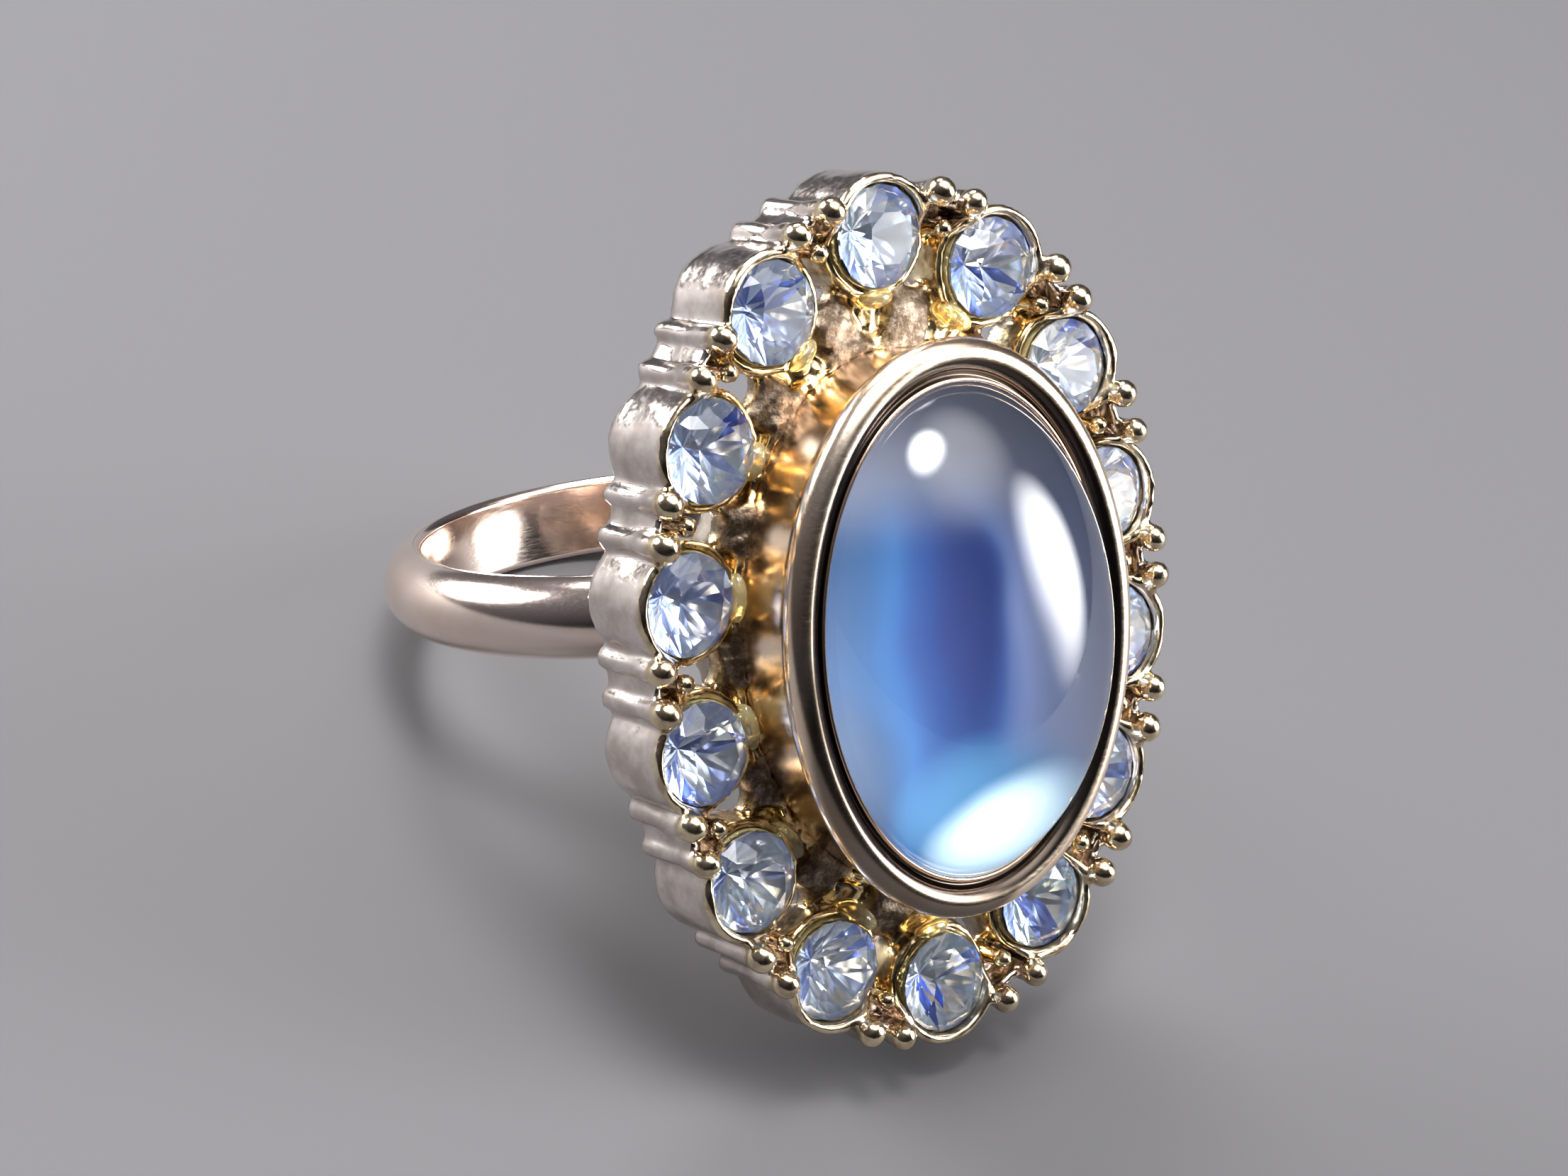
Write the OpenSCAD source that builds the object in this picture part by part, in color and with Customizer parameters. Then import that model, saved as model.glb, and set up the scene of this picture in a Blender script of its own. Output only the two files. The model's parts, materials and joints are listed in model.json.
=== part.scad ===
// Cocktail ring: an oval domed cabochon in a rolled bezel, inside a pierced halo of
// round faceted stones, carried by a gallery collar on a plain half-round shank.
//
// Head pieces are drawn with X across the finger, Y along the finger and Z out
// through the big stone, from the centre of the finger hole. pose() then leans the
// whole ring back until it rests on the back of the shank and the lower end of the
// halo, so that +Z is up from the table.

/* [Shank] */
// Inside diameter of the finger hole
finger_d = 17.3; // [16:0.1:19]
// Thickness of the half-round band, which is half its width
band_h = 1.6; // [1.3:0.05:1.9]
// Edge broken off each inner corner of the band
band_edge = 0.3; // [0.15:0.05:0.4]

/* [Halo] */
// Half width of the oval through the round stones' centres
halo_a = 9.4; // [9.3:0.1:10]
// Half length of the oval through the round stones' centres
halo_b = 13.5; // [13.3:0.1:13.9]
// Height of the round stones' girdles over the centre of the finger hole
girdle_z = 16.6; // [16.4:0.1:18]
// Depth of the halo's side wall below the girdles
wall_depth = 3; // [2.8:0.1:3.2]
// Thickness of the wall of each stone cup
cup_wall = 0.32; // [0.28:0.02:0.4]
// Radius of the paired beads at the front of the ribs
bead_r = 0.5; // [0.48:0.01:0.54]

/* [Round stones] */
// Number of round stones
stone_count = 14; // [14:1:14]
// Diameter of a round stone
chaton_d = 3.6; // [3.4:0.1:3.7]
// Height of the crown above the girdle
crown_h = 0.62; // [0.5:0.02:0.8]
// Depth of the pavilion below the girdle
pavilion_h = 1.5; // [1.3:0.05:1.6]

/* [Centre stone] */
// Width of the cabochon
cabochon_w = 12.8; // [12.7:0.1:13]
// Length of the cabochon
cabochon_l = 18.2; // [18:0.1:18.4]
// Height of its dome above its edge
dome_h = 5.8; // [5.6:0.1:6.2]

/* [Bezel] */
// Width of the rolled rim, outside the cabochon's edge
rim_w = 1.1; // [1.05:0.05:1.2]
// Height of the rim's crest above the round stones' girdles
rim_rise = 3.3; // [3.1:0.05:3.4]
// Height of the cabochon's edge above the round stones' girdles
seat_rise = 0.9; // [0.8:0.05:1]

/* [Hidden] */

// Shank
finger_r = finger_d / 2;
band_r = finger_r + band_h;

// Round stones and their cups
chaton_r = chaton_d / 2;
girdle_t = 0.12;
table_r = 0.54 * chaton_r;
star_r = 0.76 * chaton_r;
star_z = 0.62 * crown_h;
cup_r = chaton_r + 0.04;
cup_out_r = cup_r + cup_wall;
vent_r = 0.7;

// Levels of the halo
wall_z = girdle_z - wall_depth;
cup_foot_z = girdle_z - 2.3;
cup_floor_z = girdle_z - 1.75;
plate_z = girdle_z - 1.65;
plate_top_z = girdle_z - 1.15;
spoke_z = girdle_z - 0.95;
web_z = girdle_z - 0.75;
cup_inner_z = girdle_z - 0.6;
cup_rim_z = girdle_z + 0.32;
rib_z = girdle_z + 0.4;
bead_z = girdle_z + 0.5;
cement_h = girdle_z - girdle_t - 0.05 - cup_floor_z;

// Halo offsets from the oval of stone centres, positive outward
bead_out = 1.45;
bead_half_gap = 0.72;
rib_r = 0.46;
inner_bead_out = 0.4;
inner_bead_r = 0.36;
inner_bead_z = girdle_z + 0.1;
hole_out = -0.85;
hole_r = 0.66;
skirt_out = 1.2;
rail_out = 1.6;
web_w = 1.7;
spoke_w = 0.9;
reach = 4;

// Centre stone and bezel
cab_a = cabochon_w / 2;
cab_b = cabochon_l / 2;
cab_z = girdle_z + seat_rise;
dome_power = 2.3;
crest_z = girdle_z + rim_rise;
wall_out = 0.45;
bezel_foot_z = cup_foot_z + 0.1;
bezel_floor_t = 0.6;
roll_r = 0.6;
seat_t = 0.7;
foil_t = 0.12;
foil_z = cab_z - seat_t - foil_t;
cement_z = bezel_foot_z + bezel_floor_t;

// Gallery collar
collar_a = 4.6;
collar_b = 6.4;
collar_wall = 0.8;
collar_low_z = finger_r;
flange_w = 1;
flange_t = 0.5;
window_pairs = 5;
window_r = 1;
window_z = (bezel_foot_z - flange_t + band_r) / 2;

// Smoothness of ovals, rims and round walls
oval_sides = 72;
fine = 180;
round_sides = 96;

// The ring leans until the halo's lower end and the band are equally high:
// rest_y cos(lean) - rest_z sin(lean) = band_h
rest_y = halo_b + cup_out_r;
rest_z = wall_z + finger_r;
lean = atan(rest_y / rest_z) - asin(band_h / norm([rest_y, rest_z]));

// Point d outside an oval of half axes a and b; t = 0 is the oval's far end
function oval_normal(a, b, t) = let (n = [-sin(t) / a, cos(t) / b]) n / norm(n);
function oval(a, b, t, d = 0) = [-a * sin(t), b * cos(t)] + d * oval_normal(a, b, t);
function outline(a, b, d = 0) =
    [for (i = [0:oval_sides - 1]) oval(a, b, 360 * i / oval_sides, d)];
function raised(points, z) = [for (p = points) [p[0], p[1], z]];

// Length run along the halo's oval against t, and t at an even share of it
function step(t) = norm(oval(halo_a, halo_b, t + 1) - oval(halo_a, halo_b, t));
arc_table = [for (t = 0, s = 0; t <= 360; s = s + step(t), t = t + 1) [s, t]];
function even_t(share) = lookup(arc_table[360][0] * share, arc_table);

function two_digits(k) = k < 10 ? str("0", k) : str(k);

// Leans the head's geometry back into the resting pose
module pose() {
    rotate([90 - lean, 0, 0])
        children();
}

// Puts children a distance out from the halo's oval, at an even share of its
// length, with their Y axis along the outward normal
module around(share, out = 0) {
    t = even_t(share);
    n = oval_normal(halo_a, halo_b, t);
    p = oval(halo_a, halo_b, t, out);
    translate([p[0], p[1], 0])
        rotate([0, 0, atan2(n[1], n[0]) - 90])
            children();
}
module at_stones() {
    for (k = [0:stone_count - 1])
        around(k / stone_count)
            children();
}
module at_gaps(out = 0) {
    for (k = [0:stone_count - 1])
        around((k + 0.5) / stone_count, out)
            children();
}

// Closed solid through rings of points, from the lowest ring to the highest
module loft(rings) {
    n = len(rings[0]);
    top = (len(rings) - 1) * n;
    sides = [
        for (j = [0:len(rings) - 2], i = [0:n - 1])
            let (a = j * n + i, b = j * n + (i + 1) % n)
                each [[a, a + n, b], [b, a + n, b + n]]
    ];
    polyhedron(
        [for (ring = rings) each ring],
        concat([[for (i = [0:n - 1]) i]], sides, [[for (i = [n - 1:-1:0]) top + i]])
    );
}

// Closed profile of [outward offset, z] carried round an oval
module oval_sweep(a, b, profile) {
    n = len(profile);
    points = [
        for (i = [0:oval_sides - 1], q = profile)
            let (p = oval(a, b, 360 * i / oval_sides, q[0])) [p[0], p[1], q[1]]
    ];
    faces = [
        for (i = [0:oval_sides - 1], j = [0:n - 1])
            let (here = i * n, next = (i + 1) % oval_sides * n, k = (j + 1) % n)
                each [
                    [here + j, here + k, next + j],
                    [here + k, next + k, next + j]
                ]
    ];
    polyhedron(points, faces);
}

module oval_prism(a, b, d, z0, z1) {
    translate([0, 0, z0])
        linear_extrude(z1 - z0)
            polygon(outline(a, b, d));
}

module shank() {
    color("rosybrown")
        pose()
            rotate([90, 0, 0])
                rotate_extrude($fn = fine)
                    difference() {
                        intersection() {
                            translate([finger_r, 0])
                                circle(r = band_h, $fn = round_sides);
                            translate([finger_r, -band_h])
                                square([band_h + 1, 2 * band_h]);
                        }
                        for (side = [-1, 1])
                            translate([finger_r, side * band_h])
                                rotate(45)
                                    square(band_edge * sqrt(2), center = true);
                    }
}

// Pierced oval tube under the bezel's floor, with a flange above and a saddle below
module gallery_collar() {
    color("silver")
        pose()
            difference() {
                union() {
                    oval_prism(collar_a, collar_b, 0, collar_low_z, bezel_foot_z);
                    oval_prism(collar_a, collar_b, flange_w, bezel_foot_z - flange_t, bezel_foot_z);
                }
                oval_prism(collar_a, collar_b, -collar_wall, collar_low_z - 1, bezel_foot_z + 1);
                for (i = [1:window_pairs])
                    rotate([0, 0, 180 * (i - 0.5) / window_pairs])
                        translate([0, 0, window_z])
                            rotate([90, 0, 0])
                                cylinder(h = 30, r = window_r, center = true, $fn = round_sides);
                rotate([90, 0, 0])
                    cylinder(h = 30, r = band_r - 0.02, center = true, $fn = fine);
            }
}

// Scalloped outline of the halo: a lobe at each stone and two ribs at each gap
module halo_outline() {
    at_stones()
        circle(r = cup_out_r, $fn = round_sides);
    at_gaps(bead_out)
        for (side = [-1, 1])
            translate([side * bead_half_gap, 0])
                circle(r = rib_r, $fn = round_sides);
    polygon(outline(halo_a, halo_b, rail_out));
}

// One cast piece: side wall, pierced plate, stone cups, ribs, beads and webs
module halo_casting() {
    color("wheat")
        pose()
            difference() {
                union() {
                    halo_wall();
                    halo_cups();
                    halo_webs();
                    halo_beads();
                }
                oval_prism(cab_a, cab_b, wall_out, wall_z - 1, girdle_z + 2);
                at_stones() {
                    translate([0, 0, cup_floor_z])
                        cylinder(h = 4, r = cup_r, $fn = round_sides);
                    translate([0, 0, cup_foot_z - 1])
                        cylinder(h = 4, r = vent_r, $fn = round_sides);
                }
                at_gaps(hole_out)
                    translate([0, 0, plate_z - 1])
                        cylinder(h = 5, r = hole_r, $fn = round_sides);
            }
}
module halo_wall() {
    translate([0, 0, wall_z])
        linear_extrude(girdle_z - wall_z)
            difference() {
                halo_outline();
                polygon(outline(halo_a, halo_b, skirt_out));
            }
    translate([0, 0, plate_z])
        linear_extrude(plate_top_z - plate_z)
            halo_outline();
}
module halo_cups() {
    at_stones()
        translate([0, 0, cup_foot_z])
            cylinder(h = cup_inner_z - cup_foot_z, r = cup_out_r, $fn = round_sides);
    difference() {
        at_stones()
            translate([0, 0, girdle_z - 1])
                cylinder(h = cup_rim_z - girdle_z + 1, r = cup_out_r, $fn = round_sides);
        oval_prism(halo_a, halo_b, 0.25, girdle_z - 2, girdle_z + 2);
    }
}
module halo_webs() {
    at_gaps(hole_out - reach / 2)
        translate([0, 0, (plate_z + web_z) / 2])
            cube([web_w, reach, web_z - plate_z], center = true);
    at_stones()
        translate([0, -cup_r - reach / 2, (plate_z + spoke_z) / 2])
            cube([spoke_w, reach, spoke_z - plate_z], center = true);
}
module halo_beads() {
    at_gaps(bead_out)
        for (side = [-1, 1])
            translate([side * bead_half_gap, 0, 0]) {
                translate([0, 0, wall_z])
                    cylinder(h = rib_z - wall_z, r = rib_r, $fn = round_sides);
                translate([0, 0, bead_z])
                    sphere(r = bead_r, $fn = round_sides);
            }
    at_gaps(inner_bead_out) {
        translate([0, 0, plate_z])
            cylinder(h = inner_bead_z - plate_z, r = inner_bead_r * 0.9, $fn = round_sides);
        translate([0, 0, inner_bead_z])
            sphere(r = inner_bead_r, $fn = round_sides);
    }
}

// Oval cup with a rolled rim and a closed floor
module centre_bezel() {
    color("peru")
        pose() {
            oval_sweep(cab_a, cab_b, rim_profile());
            oval_prism(cab_a, cab_b, 0.2, bezel_foot_z, cement_z);
        }
}
function rim_profile() = concat(
    [
        [0.05, bezel_foot_z],
        [wall_out, bezel_foot_z],
        [wall_out, crest_z - 3 * roll_r]
    ],
    [for (a = [-30:20:170]) [
        rim_w - roll_r + roll_r * cos(a),
        crest_z - roll_r + roll_r * sin(a)
    ]],
    [
        [0.05, crest_z - 2 * roll_r],
        [0.05, cab_z - seat_t]
    ]
);

// Cement under the foil, filling the bezel's cup
module cabochon_cement() {
    color("khaki")
        pose()
            oval_prism(cab_a, cab_b, 0, cement_z, foil_z);
}

module cabochon_foil() {
    color("lightsteelblue")
        pose()
            oval_prism(cab_a, cab_b, -0.1, foil_z, foil_z + foil_t);
}

// Flat-backed oval dome with full sides
module cabochon() {
    levels = 9;
    base = cab_z - seat_t;
    color("royalblue")
        pose()
            loft(concat(
                [
                    raised(outline(cab_a, cab_b, -0.25), base),
                    raised(outline(cab_a, cab_b, -0.02), base + 0.25)
                ],
                [for (i = [0:levels - 1]) dome_ring(84 * i / (levels - 1))]
            ));
}
function dome_ring(lift) =
    let (
        spread = pow(cos(lift), 2 / dome_power),
        rise = pow(sin(lift), 2 / dome_power)
    )
        raised(outline(cab_a * spread, cab_b * spread, -0.02 * spread), cab_z + dome_h * rise);

// Round faceted stone: octagonal table, stars, kites and a pointed back, from its
// girdle's upper edge
module gem() {
    table = [for (i = [0:7]) [table_r * cos(45 * i + 22.5), table_r * sin(45 * i + 22.5), crown_h]];
    stars = [for (i = [0:7]) [star_r * cos(45 * i), star_r * sin(45 * i), star_z]];
    upper = [for (i = [0:15]) [chaton_r * cos(22.5 * i), chaton_r * sin(22.5 * i), 0]];
    lower = [for (p = upper) [p[0], p[1], -girdle_t]];
    // Points: 0-7 table, 8-15 stars, 16-31 upper girdle, 32-47 lower girdle, 48 tip
    crown = [
        for (i = [0:7])
            let (
                last = (i + 7) % 8,
                side = 16 + 2 * i,
                before = 16 + (2 * i + 15) % 16,
                after = side + 1
            )
                each [
                    [last, i, 8 + i],
                    [8 + i, side, before],
                    [8 + i, after, side],
                    [i, after, 8 + i],
                    [i, 8 + (i + 1) % 8, after]
                ]
    ];
    belt = [
        for (i = [0:15])
            let (next = (i + 1) % 16)
                each [
                    [16 + i, 16 + next, 32 + i],
                    [16 + next, 32 + next, 32 + i],
                    [32 + i, 32 + next, 48]
                ]
    ];
    polyhedron(
        concat(table, stars, upper, lower, [[0, 0, -girdle_t - pavilion_h]]),
        concat([[for (i = [7:-1:0]) i]], crown, belt)
    );
}
module chaton(k) {
    color("lightblue")
        pose()
            around((k - 1) / stone_count)
                translate([0, 0, girdle_z])
                    gem();
}

// Cement between a round stone's pointed back and its cup
module cup_cement(k) {
    color("gold")
        pose()
            around((k - 1) / stone_count)
                difference() {
                    translate([0, 0, cup_floor_z])
                        cylinder(h = cement_h, r = cup_r - 0.02, $fn = round_sides);
                    translate([0, 0, girdle_z])
                        gem();
                }
}

shank();
gallery_collar();
halo_casting();
centre_bezel();
cabochon_cement();
cabochon_foil();
cabochon();
for (k = [1:stone_count]) {
    chaton(k);
    cup_cement(k);
}
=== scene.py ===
"""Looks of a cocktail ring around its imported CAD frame: an oval domed cabochon in a
rolled bezel, inside a pierced cast halo of round faceted stones, on a half-round shank.

Shapes are worked out in the head's own axes, in millimetres: x across the finger, y along
the finger and z out through the big stone, from the centre of the finger hole. build() turns
them into the row frame, in metres. The casting, the gallery collar and the stones' cement
are sculpted as signed distances on a grid; the other pieces are lofted or faceted.
"""

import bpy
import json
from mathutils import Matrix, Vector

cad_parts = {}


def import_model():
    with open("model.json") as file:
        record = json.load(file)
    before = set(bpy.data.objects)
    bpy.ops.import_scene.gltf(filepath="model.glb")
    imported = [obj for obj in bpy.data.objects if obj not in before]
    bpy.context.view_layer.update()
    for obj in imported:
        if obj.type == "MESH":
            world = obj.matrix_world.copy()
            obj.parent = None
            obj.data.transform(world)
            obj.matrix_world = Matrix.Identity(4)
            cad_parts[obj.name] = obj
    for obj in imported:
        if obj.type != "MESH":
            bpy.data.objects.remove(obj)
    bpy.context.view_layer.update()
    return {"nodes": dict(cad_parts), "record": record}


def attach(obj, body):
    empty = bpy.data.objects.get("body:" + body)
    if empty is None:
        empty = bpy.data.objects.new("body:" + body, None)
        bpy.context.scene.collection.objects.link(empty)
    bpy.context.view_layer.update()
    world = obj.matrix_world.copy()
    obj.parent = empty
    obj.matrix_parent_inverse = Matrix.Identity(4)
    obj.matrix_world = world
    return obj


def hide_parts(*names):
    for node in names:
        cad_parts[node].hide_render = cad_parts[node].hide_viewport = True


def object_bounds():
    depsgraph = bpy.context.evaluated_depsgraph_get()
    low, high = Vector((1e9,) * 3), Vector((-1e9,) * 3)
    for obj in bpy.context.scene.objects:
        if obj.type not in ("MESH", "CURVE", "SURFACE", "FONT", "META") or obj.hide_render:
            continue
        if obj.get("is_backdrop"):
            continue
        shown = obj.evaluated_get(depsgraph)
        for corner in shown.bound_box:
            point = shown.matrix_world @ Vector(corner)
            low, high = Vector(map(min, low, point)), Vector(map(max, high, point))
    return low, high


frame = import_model()

import json
import math

import bmesh
import bpy
import numpy as np
import openvdb
from mathutils import Matrix, Vector

MM = 0.001
SEED = 7

# ---------------------------------------------------------------- frame and head axes

ACROSS = Vector((1, 0, 0))
ALONG = Vector(frame["record"]["mounts"][0]["axis"])
OUTWARD = ACROSS.cross(ALONG)
HEAD = Matrix((ACROSS, ALONG, OUTWARD)).transposed()
HEAD_ROWS = np.array(HEAD)


def head_points(node):
    """A CAD node's vertices, in head millimetres."""
    mesh = frame["nodes"][node].data
    points = np.empty(len(mesh.vertices) * 3)
    mesh.vertices.foreach_get("co", points)
    return points.reshape(-1, 3) @ HEAD_ROWS / MM


def head_box(node):
    """A CAD node's lowest and highest corners, in head millimetres."""
    points = head_points(node)
    return points.min(0), points.max(0)


def to_row(point):
    """A head point in millimetres as a row-frame vector in metres."""
    return HEAD @ Vector(point) * MM


STONES = sorted(name for name in frame["nodes"] if name.startswith("chaton_"))
COUNT = len(STONES)

first_low, first_high = head_box(STONES[0])
STONE_R = (first_high[0] - first_low[0]) / 2
TABLE_Z = first_high[2]
TIP_Z = first_low[2]
gem = head_points(STONES[0])
gem_reach = np.hypot(*(gem[:, :2] - (first_low + first_high)[:2] / 2).T)
GIRDLE_Z = gem[gem_reach > 0.98 * STONE_R, 2].max()

HALO_B = (first_low + first_high)[1] / 2
side_low, side_high = head_box(STONES[3])
side_x, side_y = ((side_low + side_high) / 2)[:2]
HALO_A = abs(side_x) / math.sqrt(1 - (side_y / HALO_B) ** 2)

cab = head_points("cabochon")
CAB_A, CAB_B = cab.max(0)[:2]
CAB_BASE_Z, CAB_TOP_Z = cab[:, 2].min(), cab[:, 2].max()
CAB_EDGE_Z = cab[cab[:, 0] > CAB_A - 0.001, 2].max()

bezel_low, bezel_high = head_box("centre_bezel")
RIM_OUT = bezel_high[0] - CAB_A
CREST_Z = bezel_high[2]
BEZEL_FOOT_Z = bezel_low[2]

casting_low, casting_high = head_box("halo_casting")
WALL_Z = casting_low[2]

_, shank_high = head_box("shank")
BAND_R = shank_high[0]
BAND_HALF = shank_high[1]
FINGER_R = frame["record"]["mounts"][0]["dims"]["r_mm"]

collar_low, collar_high = head_box("gallery_collar")

# ------------------------------------------------------------- sizes, in millimetres

STEP = 0.15
GLUE_STEP = 0.09
MARGIN = 0.4
COLLAR_MARGIN = 0.43
CORNER_R = 0.35

# Halo casting: heights, then offsets out from the stones' oval, then half widths and radii
CUP_R = STONE_R + 0.04
CUP_OUT_R = STONE_R + 0.36
CUP_FOOT_Z = GIRDLE_Z - 2.3
CUP_FLOOR_Z = GIRDLE_Z - 1.75
PLATE_Z = GIRDLE_Z - 1.65
PLATE_TOP_Z = GIRDLE_Z - 1.15
CUP_INNER_Z = GIRDLE_Z - 0.32
CUP_RIM_Z = GIRDLE_Z + 0.3
BEAD_Z = GIRDLE_Z + 0.5
RIB_TOP_Z = BEAD_Z - 0.15
SKIRT_OUT = 1.2
RAIL_OUT = 1.55
BEAD_OUT = 1.45
HOLE_OUT = -0.9
BEAD_HALF_GAP = 0.72
BEAD_R = 0.54
RIB_R = 0.42
INNER_BEAD_R = 0.36
HOLE_LONG, HOLE_WIDE = 0.86, 0.78
VENT_R = 0.7
SPOKE_HALF = 0.34
WEB_HALF = 0.85
CAST_RIPPLE = 0.016
WEB_RIPPLE = 0.028

# Gallery collar and shank
COLLAR_WALL = 0.8
COLLAR_RIPPLE = 0.012
FLANGE_W = 1.0
WINDOW_PAIRS = 5
WINDOW_R = 1.0
BAND_EDGE = 0.3

# Bezel and cabochon
WALL_OUT = 0.45
ROLL_R = 0.6
ROLL_FROM, ROLL_TO, ROLL_POINTS = -35, 158, 27
LIP_R = 0.085
LIP_POINTS = 11
DOME_POWER = 2.3
DOME_BACK_Z = CAB_BASE_Z + 0.005
BACK_EDGE, BACK_EDGE_H = 0.23, 0.25

# Round stones: shares of the radius, of the crown's height and of the back's depth
GIRDLE_BAND = 0.12
TABLE_SHARE, STAR_SHARE, STAR_RISE = 0.54, 0.76, 0.62
BACK_SHARE, BACK_DEPTH = 0.34, 0.70
SEAT_ROOM = 0.09


def even_oval(shares):
    """Points and outward normals at even shares of the length of the stones' oval."""
    t = np.linspace(0, 2 * np.pi, 2881)
    x, y = -HALO_A * np.sin(t), HALO_B * np.cos(t)
    run = np.concatenate([[0], np.cumsum(np.hypot(np.diff(x), np.diff(y)))])
    t = np.interp(np.asarray(shares), run / run[-1], t)
    normal = np.stack([-np.sin(t) / HALO_A, np.cos(t) / HALO_B], 1)
    normal /= np.linalg.norm(normal, axis=1)[:, None]
    return np.stack([-HALO_A * np.sin(t), HALO_B * np.cos(t)], 1), normal


STONE_SPOTS = list(zip(*even_oval(np.arange(COUNT) / COUNT)))
GAP_SPOTS = list(zip(*even_oval((np.arange(COUNT) + 0.5) / COUNT)))

# ------------------------------------------------------------------- solids as distances


def oval_distance(x, y, a, b):
    """Distance out from an oval, close to its edge; less than 0 inside."""
    near = np.hypot(x / a, y / b)
    slope = np.hypot(x / a**2, y / b**2)
    return near * (near - 1) / np.maximum(slope, 1e-6)


def smooth_min(a, b, blend):
    """Joins two solids with a fillet."""
    share = np.clip(0.5 + 0.5 * (b - a) / blend, 0, 1)
    return b * (1 - share) + a * share - blend * share * (1 - share)


def smooth_max(a, b, blend):
    """What two solids share, with its edge rounded."""
    return -smooth_min(-a, -b, blend)


def ramp(x, start, end):
    """Rises smoothly from 0 at start to 1 at end."""
    t = np.clip((x - start) / (end - start), 0, 1)
    return t * t * (3 - 2 * t)


def bump(x, centre, width):
    """A hill of height 1."""
    return np.exp(-(((x - centre) / width) ** 2))


def biggest_body(count, quads):
    """Which points belong to the largest connected body of a mesh."""
    a, b = quads.ravel(), np.roll(quads, 1, axis=1).ravel()
    label = np.arange(count)
    while True:
        low = np.minimum(label[a], label[b])
        fresh = label.copy()
        np.minimum.at(fresh, a, low)
        np.minimum.at(fresh, b, low)
        fresh = fresh[fresh]
        if (fresh == label).all():
            return label == np.bincount(label).argmax()
        label = fresh


class Solid:
    """A solid held as signed distances on a grid, in head millimetres."""

    FAR = 2.0

    def __init__(self, low, high, step):
        self.low = np.array(low, float)
        self.step = step
        self.size = np.ceil((np.array(high) - self.low) / step).astype(int) + 1
        self.field = np.full(self.size, self.FAR, np.float32)

    def window(self, low, high):
        """The part of the grid between two corners, and its x, y and z."""
        first = np.floor((np.array(low) - self.low) / self.step).astype(int)
        last = np.ceil((np.array(high) - self.low) / self.step).astype(int) + 1
        first, last = np.clip(first, 0, self.size), np.clip(last, 0, self.size)
        part = tuple(slice(i, j) for i, j in zip(first, last))
        x, y, z = (
            (self.low[k] + self.step * np.arange(first[k], last[k])).astype(np.float32)
            for k in range(3)
        )
        return part, x[:, None, None], y[None, :, None], z[None, None, :]

    def everywhere(self):
        return self.window(self.low, self.low + self.step * (self.size - 1))

    def carve(self, shape, blend):
        """Takes a shape in head axes away from the whole solid."""
        _, x, y, z = self.everywhere()
        self.field = smooth_max(self.field, -shape(x, y, z), blend).astype(np.float32)

    def local(self, spot, reach, shape):
        """A shape in a spot's own axes, tangent u and outward v, in a window around it."""
        (cx, cy), (nx, ny) = spot
        z_end = self.low[2] + self.step * (self.size[2] - 1)
        part, x, y, z = self.window(
            (cx - reach, cy - reach, self.low[2]), (cx + reach, cy + reach, z_end)
        )
        u = (x - cx) * ny - (y - cy) * nx
        v = (x - cx) * nx + (y - cy) * ny
        return part, shape(u, v, z)

    def join_at(self, spot, reach, shape, blend):
        """Adds a shape in a spot's own axes."""
        part, distance = self.local(spot, reach, shape)
        self.field[part] = smooth_min(self.field[part], distance, blend)

    def carve_at(self, spot, reach, shape, blend):
        """Takes away a shape in a spot's own axes."""
        part, distance = self.local(spot, reach, shape)
        self.field[part] = smooth_max(self.field[part], -distance, blend)

    def crowding(self, radius):
        """How full the surroundings of each grid point are, from 0 to 1."""
        full = np.clip(0.5 - self.field / self.step, 0, 1).astype(np.float32)
        width = 2 * max(1, int(round(radius / self.step))) + 1
        for axis in range(3):
            pad = [(0, 0)] * 3
            pad[axis] = (width // 2 + 1, width // 2)
            total = np.cumsum(np.pad(full, pad), axis=axis, dtype=np.float64)
            upper = np.take(total, np.arange(width, total.shape[axis]), axis=axis)
            lower = np.take(total, np.arange(total.shape[axis] - width), axis=axis)
            full = ((upper - lower) / width).astype(np.float32)
        return full

    def sample(self, values, points):
        """Values of a grid at points, by the nearest grid point."""
        index = np.rint((points - self.low) / self.step).astype(int)
        index = np.clip(index, 0, self.size - 1)
        return values[index[:, 0], index[:, 1], index[:, 2]]

    def surface(self):
        """Points in head millimetres, and faces, of the largest connected body."""
        grid = openvdb.FloatGrid(self.FAR)
        grid.copyFromArray(np.ascontiguousarray(self.field))
        points, quads = grid.convertToQuads(0.0)
        quads = np.asarray(quads, np.int64)
        kept = biggest_body(len(points), quads)
        fresh = np.cumsum(kept) - 1
        points = np.asarray(points)[kept] * self.step + self.low
        return points, fresh[quads[kept[quads[:, 0]]]]


def post(u, v, z, at_u, at_v, radius, z0, z1):
    """Distance to an upright cylinder."""
    side = np.hypot(u - at_u, v - at_v) - radius
    end = np.abs(z - (z0 + z1) / 2) - (z1 - z0) / 2
    return np.maximum(side, end)


def ball(u, v, z, at_u, at_v, at_z, radius):
    """Distance to a ball."""
    return np.sqrt((u - at_u) ** 2 + (v - at_v) ** 2 + (z - at_z) ** 2) - radius


def block(u, v, z, half_u, v0, v1, z0, z1):
    """Distance to a box that is centred on u."""
    across = np.abs(u) - half_u
    outward = np.abs(v - (v0 + v1) / 2) - (v1 - v0) / 2
    upright = np.abs(z - (z0 + z1) / 2) - (z1 - z0) / 2
    return np.maximum(np.maximum(across, outward), upright)


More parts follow.
